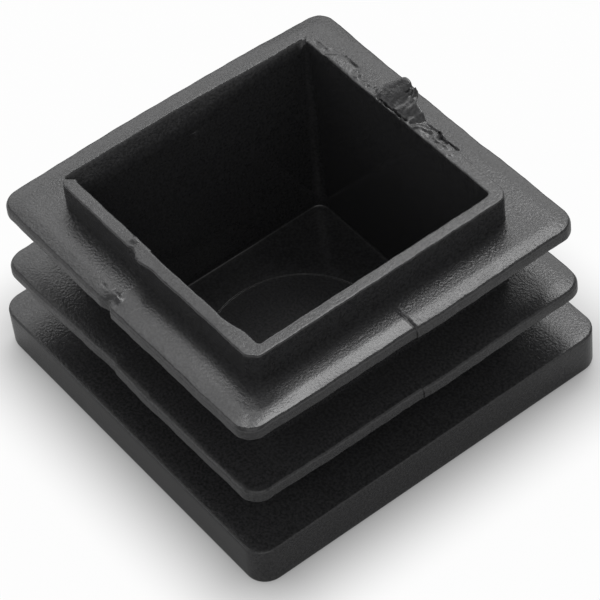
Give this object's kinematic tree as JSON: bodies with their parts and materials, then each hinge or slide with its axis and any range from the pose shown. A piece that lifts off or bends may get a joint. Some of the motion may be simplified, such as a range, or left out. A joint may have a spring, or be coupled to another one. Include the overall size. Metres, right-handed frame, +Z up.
{
  "type": "square tube end cap",
  "caption": "Square end cap that plugs the end of a square tube: a flat head and a hollow, open stem with thin gripping fins.",
  "frame": {"origin": "centre of the head's outer face, on which the cap lies", "axes": "+Z up the stem, towards its open end; +X and +Y square to the sides, with the torn gate on the +Y wall"},
  "size_m": [0.025, 0.025, 0.0143],
  "materials": {
    "black_polyethylene": "moulded, fine grain, satin"
  },
  "bodies": {
    "root": {"end_cap": "black_polyethylene"}
  },
  "joints": []
}
